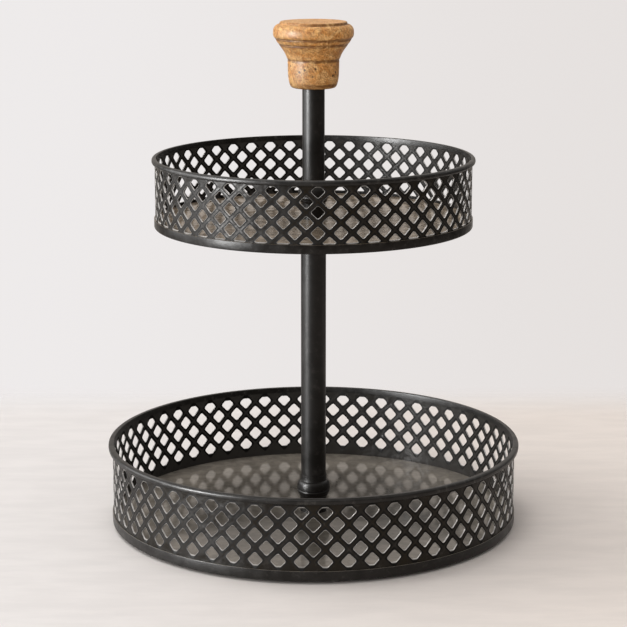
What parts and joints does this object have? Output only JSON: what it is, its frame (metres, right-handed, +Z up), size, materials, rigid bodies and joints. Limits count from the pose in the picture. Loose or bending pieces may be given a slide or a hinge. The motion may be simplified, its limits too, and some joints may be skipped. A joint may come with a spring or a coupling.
{
  "type": "two-tier round tray stand",
  "caption": "Two-tier stand: round trays with diamond-pierced sheet-metal walls on a centre pole with a turned wooden knob that screws off.",
  "frame": {"origin": "on the table under the middle of the pole", "axes": "+Z up along the pole; the stand is round, so X and Y are level and equal"},
  "size_m": [0.31, 0.31, 0.376],
  "materials": {
    "black_steel": "satin black paint over pierced sheet steel, rubbed greyer on the edges",
    "zinc_steel": "zinc-plated steel hardware",
    "brass_insert": "plain turned brass",
    "rubber_pad": "matt black rubber",
    "turned_wood": "turned light brown hardwood, satin lacquer"
  },
  "bodies": {
    "stand": {"lower_pan": "black_steel", "lower_wall": "black_steel", "lower_rim": "black_steel", "upper_pan": "black_steel", "upper_wall": "black_steel", "upper_rim": "black_steel", "base_washer": "zinc_steel", "tie_rod": "zinc_steel", "lower_collar": "black_steel", "lower_pole": "black_steel", "tray_seat": "black_steel", "upper_collar": "black_steel", "upper_pole": "black_steel", "pole_plug": "black_steel", "foot_1": "rubber_pad", "foot_2": "rubber_pad", "foot_3": "rubber_pad", "foot_4": "rubber_pad"},
    "knob_washer": {"knob_washer": "zinc_steel"},
    "knob": {"knob": "turned_wood", "knob_insert": "brass_insert"}
  },
  "joints": [
    {"name": "knob_rise", "type": "slide", "parent": "stand", "child": "knob_washer", "axis": [0, 0, 1], "range_m": [0, 0.01]},
    {"name": "knob_turn", "type": "hinge", "parent": "knob_washer", "child": "knob", "pos_m": [0, 0, 0.33], "axis": [0, 0, 1], "range_deg": [0, 2880]}
  ],
  "couplings": [
    {"joint": "knob_rise", "follows": "knob_turn", "m_per_rad": 0.00019894}
  ]
}
